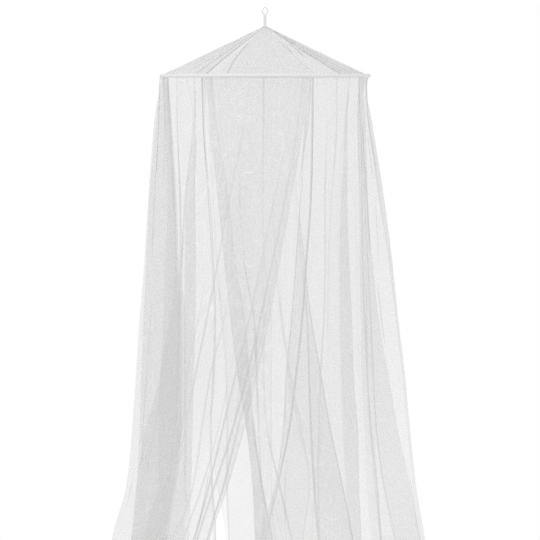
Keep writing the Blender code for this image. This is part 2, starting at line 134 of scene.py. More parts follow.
# Narrow rolled creases that stand on the panels. face: on the panel's front or back part. top, foot: metres below
# the hook. x0 .. x3: sideways place in mm at four even steps from top to foot. yarn: layers rolled into it.
TUCK_COLUMNS = ("crease", "panel", "face", "top", "foot", "x0", "x1", "x2", "x3", "yarn_top", "yarn_foot")
TUCKS = (
    ("limb_long", "left", "front", 0.20, 0.74, -299, -305, -316, -323, 5.2, 4.5),
    ("limb_second", "left", "front", 0.80, 1.32, -321, -331, -344, -351, 2.0, 4.5),
    ("gather_a", "left", "front", 0.20, 0.54, -289, -286, -286, -295, 3.9, 2.0),
    ("gather_b", "left", "front", 0.20, 0.62, -278, -272, -264, -257, 4.5, 3.9),
    ("side_line", "left", "front", 0.24, 0.60, -253, -248, -243, -239, 1.6, 3.9),
    ("ridge_start", "left", "back", 0.32, 0.64, -192, -199, -203, -202, 1.6, 2.9),
    ("hem_top", "left", "back", 0.20, 0.50, -178, -177, -173, -163, 4.5, 5.2),
    ("inner_a", "back", "back", 0.30, 0.46, -162, -159, -154, -149, 2.6, 2.0),
    ("short_a", "left", "front", 0.48, 0.62, -113, -111, -108, -105, 2.3, 3.4),
    ("fan_a", "left", "front", 0.76, 1.05, -169, -183, -203, -227, 1.3, 4.5),
    ("fan_b", "left", "front", 0.62, 0.76, -230, -233, -236, -239, 2.6, 4.5),
    ("dark_a", "left", "front", 0.84, 1.02, -255, -265, -272, -278, 2.6, 2.0),
    ("dark_b", "left", "front", 0.98, 1.36, -290, -300, -320, -343, 2.9, 2.6),
    ("edge_a", "left", "front", 1.29, 1.52, -151, -167, -183, -206, 5.2, 5.2),
    ("edge_b", "left", "front", 1.00, 1.20, -60, -70, -79, -91, 2.6, 4.5),
    ("low_limb", "left", "front", 1.30, 1.45, -364, -377, -389, -402, 2.6, 3.2),
    ("low_dark_a", "left", "front", 1.36, 1.52, -298, -316, -331, -350, 3.2, 3.2),
    ("low_dark_b", "left", "front", 1.42, 1.52, -227, -239, -255, -268, 3.2, 2.6),
    ("low_back", "left", "back", 1.26, 1.48, -233, -230, -227, -228, 3.2, 3.2),
    ("fine_c", "left", "front", 0.95, 1.30, -212, -221, -235, -251, 1.8, 2.6),
    ("overlap_a", "right", "front", 0.20, 0.30, -152, -150, -149, -148, 2.6, 2.1),
    ("centre_a", "right", "front", 0.70, 0.86, -61, -54, -47, -40, 2.6, 3.1),
    ("centre_b", "right", "front", 0.90, 1.06, -21, -24, -27, -24, 5.2, 5.9),
    ("front_x", "right", "front", 0.80, 1.02, 37, 44, 53, 64, 2.1, 3.4),
    ("front_v", "right", "front", 1.00, 1.30, 63, 75, 97, 120, 3.1, 2.1),
    ("low_w", "right", "front", 1.26, 1.50, 62, 58, 56, 60, 2.6, 3.1),
    ("low_hem", "right", "front", 1.16, 1.46, -38, -24, -8, 10, 3.1, 4.5),
    ("pleat_a", "right", "front", 0.46, 0.70, 222, 218, 214, 212, 2.1, 1.3),
    ("pleat_b", "right", "front", 1.10, 1.52, 257, 265, 267, 274, 1.8, 1.8),
    ("dark_left", "right", "front", 0.21, 0.50, 267, 270, 275, 279, 4.5, 3.2),
    ("dark_mid", "right", "front", 0.30, 0.74, 275, 283, 293, 300, 6.5, 5.2),
    ("side_a", "right", "front", 0.32, 0.52, 289, 295, 303, 311, 3.1, 2.3),
    ("side_b", "right", "front", 0.52, 0.76, 314, 317, 322, 325, 3.9, 3.2),
    ("side_c", "right", "front", 0.76, 1.00, 319, 327, 336, 348, 3.6, 4.2),
    ("inside_a", "right", "front", 0.26, 0.52, 262, 264, 266, 270, 1.8, 3.9),
    ("inside_b", "right", "front", 0.76, 1.06, 286, 289, 290, 294, 2.9, 4.2),
    ("inside_c", "right", "front", 1.08, 1.52, 289, 301, 314, 328, 2.6, 3.4),
    ("limb_a", "right", "front", 0.22, 0.50, 289, 294, 308, 323, 4.5, 3.2),
    ("low_limb", "right", "front", 1.30, 1.52, 405, 418, 429, 441, 3.9, 5.2),
    ("back_a", "right", "back", 0.29, 0.50, 208, 204, 200, 195, 1.8, 2.3),
    ("back_b", "right", "back", 0.40, 0.56, 178, 176, 173, 170, 1.6, 2.6),
    ("cross", "back", "back", 0.76, 0.90, -140, -132, -125, -119, 3.1, 2.1),
    ("top_a", "back", "back", 0.22, 0.50, 132, 128, 125, 122, 2.3, 3.1),
    ("top_b", "right", "back", 0.24, 0.60, 139, 137, 135, 130, 3.9, 3.9),
)

TIER = 0.0026
LOOSER = 11.0  # how fast the layers part below the hoop, for each metre
CELL = 2.4  # width of one mesh of the net, in millimetres
PASS = 0.745  # light let through by one layer of net


def read_table(rows):
    """Named rows with their columns gathered into places (x), layer counts (n) and line counts (c)."""
    table = []
    for row in rows:
        named = dict(zip(COLUMNS, row))
        for key in ("x", "n", "c"):
            named[key] = tuple(v for k, v in named.items() if len(k) == 4 and k[0] == key and k[1:].isdigit())
        table.append(named)
    return table


def smooth(share):
    share = min(max(share, 0.0), 1.0)
    return share * share * (3 - 2 * share)


def eased(values, keys, at):
    """Smooth reading of a table column: values at rising keys, with no overshoot."""
    if keys[0] > keys[-1]:
        keys, values = tuple(reversed(keys)), tuple(reversed(values))
    if at <= keys[0]:
        return values[0]
    if at >= keys[-1]:
        return values[-1]
    slopes = [(values[i + 1] - values[i]) / (keys[i + 1] - keys[i]) for i in range(len(keys) - 1)]
    tangents = [slopes[0]]
    for a, b in zip(slopes, slopes[1:]):
        tangents.append(0.0 if a * b <= 0 else 2 * a * b / (a + b))
    tangents.append(slopes[-1])
    for i in range(len(keys) - 1):
        if at <= keys[i + 1]:
            h = keys[i + 1] - keys[i]
            t = (at - keys[i]) / h
            return (values[i] * (1 + 2 * t) * (1 - t) ** 2 + tangents[i] * h * t * (1 - t) ** 2
                    + values[i + 1] * t * t * (3 - 2 * t) + tangents[i + 1] * h * t * t * (t - 1))
    return values[-1]


def straight(values, keys, at):
    return float(np.interp(-at, [-k for k in keys], values))


# ---------------------------------------------------------------- mesh and node helpers


def grid_mesh(name, points, gather, closed=False, cloth=None, painted_fold_shade=None):
    """One sheet from rows of points; the net's yarn count (on the sleeve, its painted shade), the net top's painted
    fold shade and cloth coordinates go with its vertices.
    """
    rows, cols = points.shape[:2]
    mesh = bpy.data.meshes.new(name)
    index = np.arange(rows * cols).reshape(rows, cols)
    left, right = index[:, :-1], index[:, 1:]
    if closed:
        left, right = index, np.roll(index, -1, axis=1)
    faces = np.stack([left[:-1], right[:-1], right[1:], left[1:]], axis=-1).reshape(-1, 4)
    mesh.from_pydata(points.reshape(-1, 3).tolist(), [], faces.tolist())
    mesh.update()
    if gather is not None:
        layer = mesh.attributes.new("gather", "FLOAT", "POINT")
        layer.data.foreach_set("value", np.ascontiguousarray(gather, dtype=np.float32).ravel())
    if painted_fold_shade is not None:
        layer = mesh.attributes.new("painted_fold_shade", "FLOAT", "POINT")
        layer.data.foreach_set("value", np.ascontiguousarray(painted_fold_shade, dtype=np.float32).ravel())
    if cloth is not None:
        uv = mesh.uv_layers.new(name="cloth")
        loops = np.empty(len(mesh.loops), dtype=np.int32)
        mesh.loops.foreach_get("vertex_index", loops)
        flat = cloth.reshape(-1, 2)[loops]
        if closed:  # the last column runs on to the first
            wide = cloth[:, :, 0].max(axis=1)
            step = cloth[:, 1, 0] - cloth[:, 0, 0]
            per = flat.reshape(-1, 4, 2)
            last = (np.arange(len(per)) % cols) == cols - 1
            row = np.arange(len(per)) // cols
            per[last, 1, 0] = wide[row[last]] + step[row[last]]
            per[last, 2, 0] = wide[row[last] + 1] + step[row[last] + 1]
            per[last, 1, 1] = 2 * per[last, 0, 1] - cloth[row[last], -2, 1]
            per[last, 2, 1] = 2 * per[last, 3, 1] - cloth[row[last] + 1, -2, 1]
            flat = per.reshape(-1, 2)
        uv.data.foreach_set("uv", flat.astype(np.float32).ravel())
    mesh.shade_smooth()
    piece = bpy.data.objects.new(name, mesh)
    bpy.context.scene.collection.objects.link(piece)
    return piece


def new_material(name):
    material = bpy.data.materials.new(name)
    material.use_nodes = True
    nodes = material.node_tree.nodes
    for node in list(nodes):
        nodes.remove(node)
    out = nodes.new("ShaderNodeOutputMaterial")
    shader = nodes.new("ShaderNodeBsdfPrincipled")
    material.node_tree.links.new(shader.outputs[0], out.inputs[0])
    return material, nodes, material.node_tree.links, shader


def math_node(nodes, links, kind, a, b=None, c=None, clamp=False):
    node = nodes.new("ShaderNodeMath")
    node.operation = kind
    node.use_clamp = clamp
    for socket, value in zip(node.inputs, (a, b, c)):
        if value is None:
            continue
        if isinstance(value, (int, float)):
            socket.default_value = value
        else:
            links.new(value, socket)
    return node.outputs[0]


def ramp_node(nodes, links, source, stops):
    node = nodes.new("ShaderNodeValToRGB")
    ramp = node.color_ramp
    while len(ramp.elements) < len(stops):
        ramp.elements.new(0.5)
    for element, (at, colour) in zip(ramp.elements, stops):
        element.position = at
        element.color = (*colour, 1.0)
    links.new(source, node.inputs[0])
    return node.outputs[0]


def noise_node(nodes, links, vector, scale, detail=2.0, rough=0.5, stretch=(1, 1, 1)):
    if stretch != (1, 1, 1):
        mapping = nodes.new("ShaderNodeMapping")
        mapping.inputs["Scale"].default_value = stretch
        links.new(vector, mapping.inputs["Vector"])
        vector = mapping.outputs[0]
    node = nodes.new("ShaderNodeTexNoise")
    node.inputs["Scale"].default_value = scale
    node.inputs["Detail"].default_value = detail
    node.inputs["Roughness"].default_value = rough
    links.new(vector, node.inputs["Vector"])
    return node.outputs[0]


# ---------------------------------------------------------------- materials


def make_net_material(name):
    """Knitted net: staggered meshes of fine yarn, denser where the cloth is gathered, creased or hemmed, with painted
    shade darkening its colour along the net top's fold lines.
    """
    material, nodes, links, shader = new_material(name)
    uv = nodes.new("ShaderNodeUVMap")
    uv.uv_map = "cloth"
    gather = nodes.new("ShaderNodeAttribute")
    gather.attribute_name = "gather"
    cloud = noise_node(nodes, links, uv.outputs[0], 0.16, 2.0, 0.6)  # slack and tight patches, in cloth mm
    grain = noise_node(nodes, links, uv.outputs[0], 0.30, 1.0, 0.5)
    runs = noise_node(nodes, links, uv.outputs[0], 0.35, 1.0, 0.5, (1.0, 0.03, 1.0))  # yarns closer here and there
    vary = math_node(nodes, links, "MULTIPLY_ADD", cloud, 0.50, 0.0)
    vary = math_node(nodes, links, "MULTIPLY_ADD", grain, 0.55, vary)
    vary = math_node(nodes, links, "MULTIPLY_ADD", runs, 0.35, vary)
    vary = math_node(nodes, links, "ADD", vary, 0.30)
    yarn = math_node(nodes, links, "MULTIPLY", gather.outputs["Fac"], vary)
    clear = math_node(nodes, links, "POWER", PASS, math_node(nodes, links, "MULTIPLY", yarn, 0.5))
    half = math_node(nodes, links, "MULTIPLY", math_node(nodes, links, "SUBTRACT", 1.0, clear), CELL / 2 / 0.86)
    mesh = nodes.new("ShaderNodeTexBrick")
    mesh.offset = 0.5
    mesh.squash = 1.0
    mesh.inputs["Scale"].default_value = 1.0
    mesh.inputs["Mortar Smooth"].default_value = 0.3
    mesh.inputs["Brick Width"].default_value = CELL
    mesh.inputs["Row Height"].default_value = CELL
    links.new(uv.outputs[0], mesh.inputs["Vector"])
    links.new(half, mesh.inputs["Mortar Size"])
    thread = mesh.outputs["Fac"]
    links.new(math_node(nodes, links, "MULTIPLY", thread, 0.985), shader.inputs["Alpha"])
    tone = ramp_node(nodes, links, cloud, [(0.30, (0.69, 0.69, 0.695)), (0.70, (0.75, 0.75, 0.745))])
    painted_fold_shade = nodes.new("ShaderNodeAttribute")
    painted_fold_shade.attribute_name = "painted_fold_shade"  # painted shade along the net top's pressed folds, standing in for the shade the yarn casts on itself there
    # painted shade: the yarn tone is mixed towards a darker grey on the net top's fold lines
    painted_fold_shade_mix = nodes.new("ShaderNodeMixRGB")
    painted_fold_shade_mix.use_clamp = True
    painted_fold_shade_mix.inputs["Color2"].default_value = (0.59, 0.59, 0.595, 1.0)
    links.new(painted_fold_shade.outputs["Fac"], painted_fold_shade_mix.inputs["Fac"])
    links.new(tone, painted_fold_shade_mix.inputs["Color1"])
    links.new(painted_fold_shade_mix.outputs[0], shader.inputs["Base Color"])
    rough = math_node(nodes, links, "MULTIPLY_ADD", grain, 0.2, 0.68)
    links.new(rough, shader.inputs["Roughness"])
    shader.inputs["Specular IOR Level"].default_value = 0.25
    shader.inputs["Sheen Weight"].default_value = 0.15
    shader.inputs["Sheen Roughness"].default_value = 0.5
    bump = nodes.new("ShaderNodeBump")
    bump.inputs["Strength"].default_value = 0.25
    bump.inputs["Distance"].default_value = 0.0003
    links.new(thread, bump.inputs["Height"])
    links.new(bump.outputs[0], shader.inputs["Normal"])
    return material


def make_cloth_material(name, light, dark, cell, distance, fuzz=0.2):
    """Plain woven cotton or tape: over and under yarns, slubs, a soft sheen and painted shade where the mesh carries
    it.
    """
    material, nodes, links, shader = new_material(name)
    uv = nodes.new("ShaderNodeUVMap")
    uv.uv_map = "cloth"
    split = nodes.new("ShaderNodeSeparateXYZ")
    links.new(uv.outputs[0], split.inputs[0])
    warp = math_node(nodes, links, "SINE", math_node(nodes, links, "MULTIPLY", split.outputs[0], math.pi / cell))
    weft = math_node(nodes, links, "SINE", math_node(nodes, links, "MULTIPLY", split.outputs[1], math.pi / cell))
    over = math_node(nodes, links, "MULTIPLY", warp, weft)
    slub = noise_node(nodes, links, uv.outputs[0], 0.5, 3.0, 0.6, (1.0, 0.15, 1.0))
    height = math_node(nodes, links, "MULTIPLY_ADD", over, 0.5, 0.5)
    height = math_node(nodes, links, "MULTIPLY_ADD", slub, 0.6, height)
    gather = nodes.new("ShaderNodeAttribute")
    gather.attribute_name = "gather"
    base = ramp_node(nodes, links, math_node(nodes, links, "MULTIPLY", height, 0.62), [(0.15, dark), (0.75, light)])
    # painted shade: the attribute mixes the colour towards a deeper grey; only the sleeve sets it, on its lower front
    # and underside
    seam_dent_and_painted_shade = nodes.new("ShaderNodeMix")
    seam_dent_and_painted_shade.data_type = "RGBA"
    links.new(math_node(nodes, links, "MULTIPLY", gather.outputs["Fac"], 1.0, clamp=True), seam_dent_and_painted_shade.inputs["Factor"])
    links.new(base, seam_dent_and_painted_shade.inputs["A"])
    seam_dent_and_painted_shade.inputs["B"].default_value = (dark[0] * 0.72, dark[1] * 0.72, dark[2] * 0.73, 1.0)
    links.new(seam_dent_and_painted_shade.outputs["Result"], shader.inputs["Base Color"])
    links.new(math_node(nodes, links, "MULTIPLY_ADD", slub, 0.2, 0.7), shader.inputs["Roughness"])
    shader.inputs["Sheen Weight"].default_value = fuzz
    bump = nodes.new("ShaderNodeBump")
    bump.inputs["Strength"].default_value = 0.7
    bump.inputs["Distance"].default_value = distance
    links.new(height, bump.inputs["Height"])
    links.new(bump.outputs[0], shader.inputs["Normal"])
    return material


def make_coat_material(name, colour, rough, coat):
    """White coating on wire or rod: faint runs, dust and rubbed spots."""
    material, nodes, links, shader = new_material(name)
    place = nodes.new("ShaderNodeTexCoord")
    run = noise_node(nodes, links, place.outputs["Object"], 90.0, 3.0, 0.6)
    dust = noise_node(nodes, links, place.outputs["Object"], 900.0, 2.0, 0.5)
    darker = tuple(c * 0.93 for c in colour)
    links.new(ramp_node(nodes, links, run, [(0.35, darker), (0.65, colour)]), shader.inputs["Base Color"])
    links.new(math_node(nodes, links, "MULTIPLY_ADD", dust, 0.25, rough - 0.1), shader.inputs["Roughness"])
    shader.inputs["Coat Weight"].default_value = coat
    shader.inputs["Coat Roughness"].default_value = 0.25
    bump = nodes.new("ShaderNodeBump")
    bump.inputs["Strength"].default_value = 0.25
    bump.inputs["Distance"].default_value = 0.0002
    links.new(run, bump.inputs["Height"])
    links.new(bump.outputs[0], shader.inputs["Normal"])
    return material


# ---------------------------------------------------------------- the net panels


def panel_levels():
    """Close rows under the sleeve and at the hem's stitches, even rows between."""
    below = (-0.0035, -0.0018, 0.0, 0.0015, 0.003, 0.0045, 0.007, 0.011, 0.016, 0.023, 0.032, 0.045, 0.060, 0.078)
    levels = [SKIRT_TOP - b for b in below]  # the first rows are sewn up inside the sleeve
    count = 100
    first, last = SKIRT_TOP - 0.098, HEM_Z + 0.040
    levels += [first + (last - first) * i / count for i in range(count + 1)]
    levels += [HEM_Z + b for b in (0.029, 0.026, 0.0245, 0.023, 0.021, 0.012, 0.004, 0.0)]
    return levels


def ripple(across, level, seed):
    """Small slack waves of a hanging net, in metres, that run down it."""
    a = math.sin(across * 61 + seed + 1.7 * math.sin(level * 2.3 + seed))
    b = math.sin(across * 117 + 2.1 * seed + 1.3 * math.sin(level * 3.7 + 2 * seed))
    c = math.sin(across * 23 + 0.6 * seed + level * 1.9)
    return 0.0016 * a + 0.0008 * b + 0.0024 * c


def make_panel(name, table, seed, lean, material):
    inner = 9
    rows, counts, cloth = [], [], []
    levels = panel_levels()
    widths = [row["width"] / 1000 for row in table]
    last = len(table) - 1
    for level in levels:
        depth_here = eased(FORM_DEPTH, FORM_LEVELS, level)
        fall = smooth((SKIRT_TOP - level) / 0.42)
        keep = (1 - fall) ** 3
        xs, ys, sewn, dense, line = [], [], [], [], []
        for row in table:
            turn = math.radians(row["angle"])
            pressed_and_fold_shade = 0.40 + 0.60 * smooth((SKIRT_TOP + 0.0035 - level) / 0.012)  # layers lie close where they are sewn in
            radius = HOOP_R + row["tier"] * TIER * pressed_and_fold_shade * (1 + LOOSER * max(SKIRT_TOP - level, 0.0))
            xs.append(eased((radius * math.sin(turn),) + tuple(v / 1000 for v in row["x"]), (SKIRT_TOP,) + FOLD_LEVELS, level))
            ys.append((1 - fall) * -radius * math.cos(turn) + fall * row["depth"] * depth_here)
            sewn.append((turn, radius))
            dense.append(straight(row["n"], THREAD_LEVELS, level))
            line.append(straight(row["c"], THREAD_LEVELS, level))
        pulls_x, pulls_y = [], []
        for i in range(last + 1):
            before = xs[i] - xs[i - 1] if i else xs[1] - xs[0]
            after = xs[i + 1] - xs[i] if i < last else before
            pulls_x.append(0.0 if before * after <= 0 else 2 * before * after / (before + after))
            pulls_y.append((ys[min(i + 1, last)] - ys[max(i - 1, 0)]) * 0.42)
        hem = 1.0
        if level < HEM_Z + 0.0235:
            hem = 2.2
        stitch = 1.6 * math.exp(-(((level - HEM_Z - 0.0245) / 0.0012) ** 2))
        points, count = [], []
        for i in range(last):
            length = math.hypot(xs[i + 1] - xs[i], ys[i + 1] - ys[i])
            w, v = min(widths[i], length / 6) / length, min(widths[i + 1], length / 6) / length
            shares = [0.0, w, 2 * w] + [2 * w + (1 - 2 * v - 2 * w) * k / (inner + 1) for k in range(1, inner + 1)]
            shares += [1 - 2 * v, 1 - v] + ([1.0] if i == last - 1 else [])
            for k, t in enumerate(shares):
                turn = sewn[i][0] + (sewn[i + 1][0] - sewn[i][0]) * t
                radius = sewn[i][1] + (sewn[i + 1][1] - sewn[i][1]) * t
                p, q = (1 + 2 * t) * (1 - t) ** 2, t * (1 - t) ** 2
                r, s = t * t * (3 - 2 * t), t * t * (t - 1)
                x = xs[i] * p + pulls_x[i] * q + xs[i + 1] * r + pulls_x[i + 1] * s
                y = ys[i] * p + pulls_y[i] * q + ys[i + 1] * r + pulls_y[i + 1] * s
                bow_x, bow_y = radius * math.sin(turn), -radius * math.cos(turn)
                for end, share in ((i, 1 - t), (i + 1, t)):  # the hoop's curve, through the same fold lines
                    bow_x += share * (xs[end] - sewn[end][1] * math.sin(sewn[end][0]))
                    bow_y += share * (ys[end] + sewn[end][1] * math.cos(sewn[end][0]))
                x = keep * bow_x + (1 - keep) * x
                y = keep * bow_y + (1 - keep) * y
                across = (i + t) * 0.11
                wave = ripple(across, level, seed) * (0.15 + 0.85 * fall)
                pucker = 0.0011 * math.sin(across * 260 + seed) * math.exp(-max(SKIRT_TOP - level, 0.0) / 0.05) * smooth((SKIRT_TOP - level) / 0.006)
                points.append((x, y + (wave + pucker) * (1 if y > 0 else -1), level))
                n = dense[i]
                if k == 0:
                    n = (dense[i] + dense[max(i - 1, 0)]) / 2 + line[i]
                elif k == 1:
                    n += line[i] * 0.5
                elif t == 1.0:
                    n += line[i + 1]
                elif t == 1 - v:
                    n += line[i + 1] * 0.5
                count.append(n * hem + stitch)
        rows.append(points)
        counts.append(count)
    points = np.array(rows)
    steps = np.linalg.norm(np.diff(points, axis=1), axis=2)
    along = np.concatenate([np.zeros((len(levels), 1)), np.cumsum(steps, axis=1)], axis=1)
    middle = along[:, along.shape[1] // 2 : along.shape[1] // 2 + 1]
    down = np.repeat((SKIRT_TOP - np.array(levels))[:, None], points.shape[1], axis=1)
    u, v = (along - middle) * 1000 + 3000, down * 1000
    # the net's courses drift and lean, differently in each panel
    lean = math.radians(lean)
    course = v * math.cos(lean) + u * math.sin(lean)
    wale = u * math.cos(lean) - v * math.sin(lean)
    course = course + 9 * np.sin(wale / 75 + seed) + 4 * np.sin(wale / 31 + 2 * seed) + 5 * np.sin(course / 140 + wale / 210)
    wale = wale + 8 * np.sin(course / 120 + 2.2 * seed) + 3 * np.sin(course / 47 + wale / 90)
    cloth = np.stack([wale, course], axis=-1)
    piece = grid_mesh(name, points, np.array(counts), cloth=cloth)
    piece.data.materials.append(material)
    width = float(along[-1, -1])
    length = levels[0] - HEM_Z
    mean = float(along[:, -1].mean())
    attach(piece, "root")
    return piece, width, mean, length, (points, levels)


def stepped(values, share):
    """A smooth curve through values at even steps."""
    n = len(values)
    at = min(max(share, 0.0), 1.0) * (n - 1)
    i = min(int(at), n - 2)
    t = at - i
    slope = [(values[min(k + 1, n - 1)] - values[max(k - 1, 0)]) / (min(k + 1, n - 1) - max(k - 1, 0)) for k in range(n)]
    return (values[i] * (1 + 2 * t) * (1 - t) ** 2 + slope[i] * t * (1 - t) ** 2
            + values[i + 1] * t * t * (3 - 2 * t) + slope[i + 1] * t * t * (t - 1))


def follow(points, levels, places, first, last, front):
    """Where a crease runs on a sheet: its place across the sheet at each level, on the front or the back part."""
    best = None
    row = points[first]
    gaps = (row[:-1, 0] - places[0]) * (row[1:, 0] - places[0])
    starts = [int(j) for j in np.nonzero(gaps <= 0)[0]]
    starts.append(int(np.argmin(np.abs(row[:, 0] - places[0]))))
    for start in starts:
        at, miss, way = float(start), 0.0, []
        for i in range(first, last + 1):
            row, place = points[i], places[i - first]
            near = 7 if way else 1
            lo, hi = max(int(at) - near, 0), min(int(at) + near + 1, len(row) - 1)
            x = row[lo : hi + 1, 0] - place
            found = [lo + j + (x[j] / (x[j] - x[j + 1]) if x[j] != x[j + 1] else 0.0) for j in range(len(x) - 1) if x[j] * x[j + 1] <= 0]
            if found:
                at = min(found, key=lambda v: abs(v - at))
            else:
                j = int(np.argmin(np.abs(x)))
                at = float(lo + j)
                miss += min(abs(x[j]), 0.02) * (levels[i - 1] - levels[i] if i else 0.01)
            way.append(at)
        depth = float(np.mean([row_at(points[first + k], v)[1] for k, v in enumerate(way)]))
        score = miss * 40 + (1.0 if (depth < 0) != front else 0.0) + 0.004 * abs(depth + 0.3 if front else depth - 0.3)
        if best is None or score < best[0]:
            best = (score, way)
    return best


def row_at(row, at):
    j = min(int(at), len(row) - 2)
    t = at - j
    return row[j] * (1 - t) + row[j + 1] * t


def make_tucks(sheets, material):
    """Rolled creases on the panels, one mesh for each panel."""
    sides = 8
    built = {name: ([], [], [], []) for name in sheets}
    for number, values in enumerate(TUCKS):
        tuck = dict(zip(TUCK_COLUMNS, values))
        xs = [tuck[f"x{k}"] / 1000 for k in range(4)]
        top, foot = -tuck["top"], -tuck["foot"]
        to_seam, to_hem = top > -0.235, foot < -1.505
        name = "skirt_" + tuck["panel"]
        points, levels = sheets[name]
        first = next(i for i, z in enumerate(levels) if z <= top + 1e-6)
        last = max(i for i, z in enumerate(levels) if z >= foot - 1e-6)
        places = [stepped(xs, (top - z) / (top - foot)) for z in levels[first : last + 1]]
        score, way = follow(points, levels, places, first, last, tuck["face"] == "front")
        if score > 0.12:
            print("crease off its panel", tuck["crease"], round(score, 3))
        if to_seam:
            way = [way[0]] * first + way
            first = 0
        if to_hem:
            way = way + [way[-1]] * (len(levels) - 1 - last)
            last = len(levels) - 1
        verts, faces, count, cloth = built[name]
        base = len(verts)
        rows = 0
        for i, at in enumerate(way):
            z = levels[first + i]
            here = row_at(points[first + i], at)
            ahead = row_at(points[first + i], min(at + 0.5, points.shape[1] - 1.001))
            behind = row_at(points[first + i], max(at - 0.5, 0.0))
            along = Vector((ahead - behind)[:2].tolist() + [0.0])
            if along.length < 1e-6:
                along = Vector((1, 0, 0))
            along.normalize()
            out = Vector((along.y, -along.x, 0))
            if out.dot(Vector((here[0], here[1], 0))) < 0:
                out = -out
            n = tuck["yarn_top"] + (tuck["yarn_foot"] - tuck["yarn_top"]) * min(max((top - z) / (top - foot), 0.0), 1.0)
            end = 1.0
            if not to_seam:
                end *= smooth((levels[first] - z) / 0.05)
            if not to_hem:
                end *= smooth((z - levels[last]) / 0.05)
            wide = 0.00135 * (0.35 + 0.65 * end)
            high = 0.00115 * (0.35 + 0.65 * end)
            centre = Vector(here.tolist()) + out * (high * 0.9)
            for k in range(sides):
                turn = 2 * math.pi * k / sides
                p = centre + along * (wide * math.cos(turn)) + out * (high * math.sin(turn))
                verts.append((p.x, p.y, z))
                count.append(max(n, 0.0) * 0.5 * end)
                cloth.append((k * 1.1 + number * 13, (SKIRT_TOP - z) * 1000))
            rows += 1
        for i in range(rows - 1):
            for k in range(sides):
                a, b = base + i * sides + k, base + i * sides + (k + 1) % sides
                faces.append((a, b, b + sides, a + sides))
    pieces = {}
    for name, (verts, faces, count, cloth) in built.items():
        if not faces:
            continue
        mesh = bpy.data.meshes.new("net_" + name[6:] + "_creases")
        mesh.from_pydata(verts, [], faces)
        layer = mesh.attributes.new("gather", "FLOAT", "POINT")
        layer.data.foreach_set("value", np.array(count, dtype=np.float32))
        uv = mesh.uv_layers.new(name="cloth")
        loops = np.empty(len(mesh.loops), dtype=np.int32)
        mesh.loops.foreach_get("vertex_index", loops)
        flat = np.array(cloth)[loops].reshape(-1, 4, 2)
        wrap = (np.arange(len(flat)) % sides) == sides - 1
        flat[wrap, 1, 0] += 1.1 * sides
        flat[wrap, 2, 0] += 1.1 * sides
        uv.data.foreach_set("uv", flat.reshape(-1).astype(np.float32))
        mesh.shade_smooth()
        piece = bpy.data.objects.new(mesh.name, mesh)
        bpy.context.scene.collection.objects.link(piece)
        mesh.materials.append(material)
        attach(piece, "root")
        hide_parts(name)
        pieces[name] = piece
    return pieces


# ---------------------------------------------------------------- the net top

# tip, mid, foot: angles in degrees from the front at the tip, a third of the way down and at the hoop; lift: stacking
# in mm; n: layers of yarn to the next line; c: extra yarn on the line; low, high: shares of the slope between which
# the line shows; width: half width in mm
CONE_COLUMNS = ("name", "tip", "mid", "foot", "lift", "n", "c", "low", "high", "width")
CONE = (
    ("back_middle", -180, -180, -180, 0.0, 1.85, 0.0, 0.0, 1.0, 3),
    ("back_crease_a", -158, -154, -152, 0.4, 1.85, 1.0, 0.2, 1.0, 2),
    ("back_crease_b", -128, -131, -133, -0.3, 1.50, 1.0, 0.1, 1.0, 2),
    ("back_left", -112, -110, -108, 0.3, 1.20, 0.6, 0.0, 1.0, 3),
    ("limb_left", -90, -90, -90, 0.0, 0.80, 1.2, 0.0, 1.0, 2),
    ("under_a", -60, -65, -68, 0.3, 0.70, 4.0, 0.15, 1.0, 1.8),
    ("under_b", -50, -46, -43, 0.1, 0.80, 6.0, 0.25, 0.95, 2.2),
    ("fold_in_left", -30, -36, -35, 0.5, 0.50, 16.0, 0.0, 1.0, 3.0),
    ("middle_layer", -44, -51, -53, 1.0, 0.50, 5.0, 0.40, 0.85, 2.0),
    ("fold_out_left", -80, -79, -81, 1.5, 0.50, 16.0, 0.0, 1.0, 6.0),
    ("over_a", -50, -58, -60, 1.9, 0.50, 4.0, 0.3, 0.8, 1.8),
    ("over_b", -14, -27, -22, 1.2, 1.90, 6.0, 0.38, 0.95, 2.2),
    ("front_middle", 0, 0, 0, 0.2, 1.90, 0.0, 0.0, 1.0, 3),
    ("short_a", 12, 30, 14, 0.1, 1.90, 4.0, 0.38, 0.54, 1.8),
    ("short_b", 20, 41, 24, 0.2, 1.85, 8.0, 0.40, 0.58, 2.2),
    ("under_right", 34, 44, 48, 0.3, 1.10, 1.0, 0.0, 1.0, 3),
    ("fold_out_right", 70, 72, 77, 0.8, 0.65, 3.0, 0.0, 1.0, 1.6),
    ("fold_mid_right", 48, 56, 60, 1.1, 0.60, 4.0, 0.1, 1.0, 2.0),
    ("fold_in_right", 36, 44, 47.5, 1.5, 0.60, 12.0, 0.0, 1.0, 1.8),
    ("over_right", 44, 51, 53, 1.8, 0.70, 2.0, 0.2, 1.0, 1.6),
    ("limb_right", 90, 90, 90, 1.2, 0.75, 1.0, 0.0, 1.0, 2),
    ("back_fold_out", 134, 132, 130, 0.8, 0.65, 4.0, 0.0, 1.0, 1.3),
    ("back_fold_in", 95, 97, 98, 0.5, 0.65, 3.0, 0.0, 1.0, 1.3),
    ("back_right", 128, 126, 124, 0.1, 1.40, 1.0, 0.0, 1.0, 3),
    ("back_crease_c", 156, 153, 150, 0.4, 1.85, 1.4, 0.2, 1.0, 2),
)


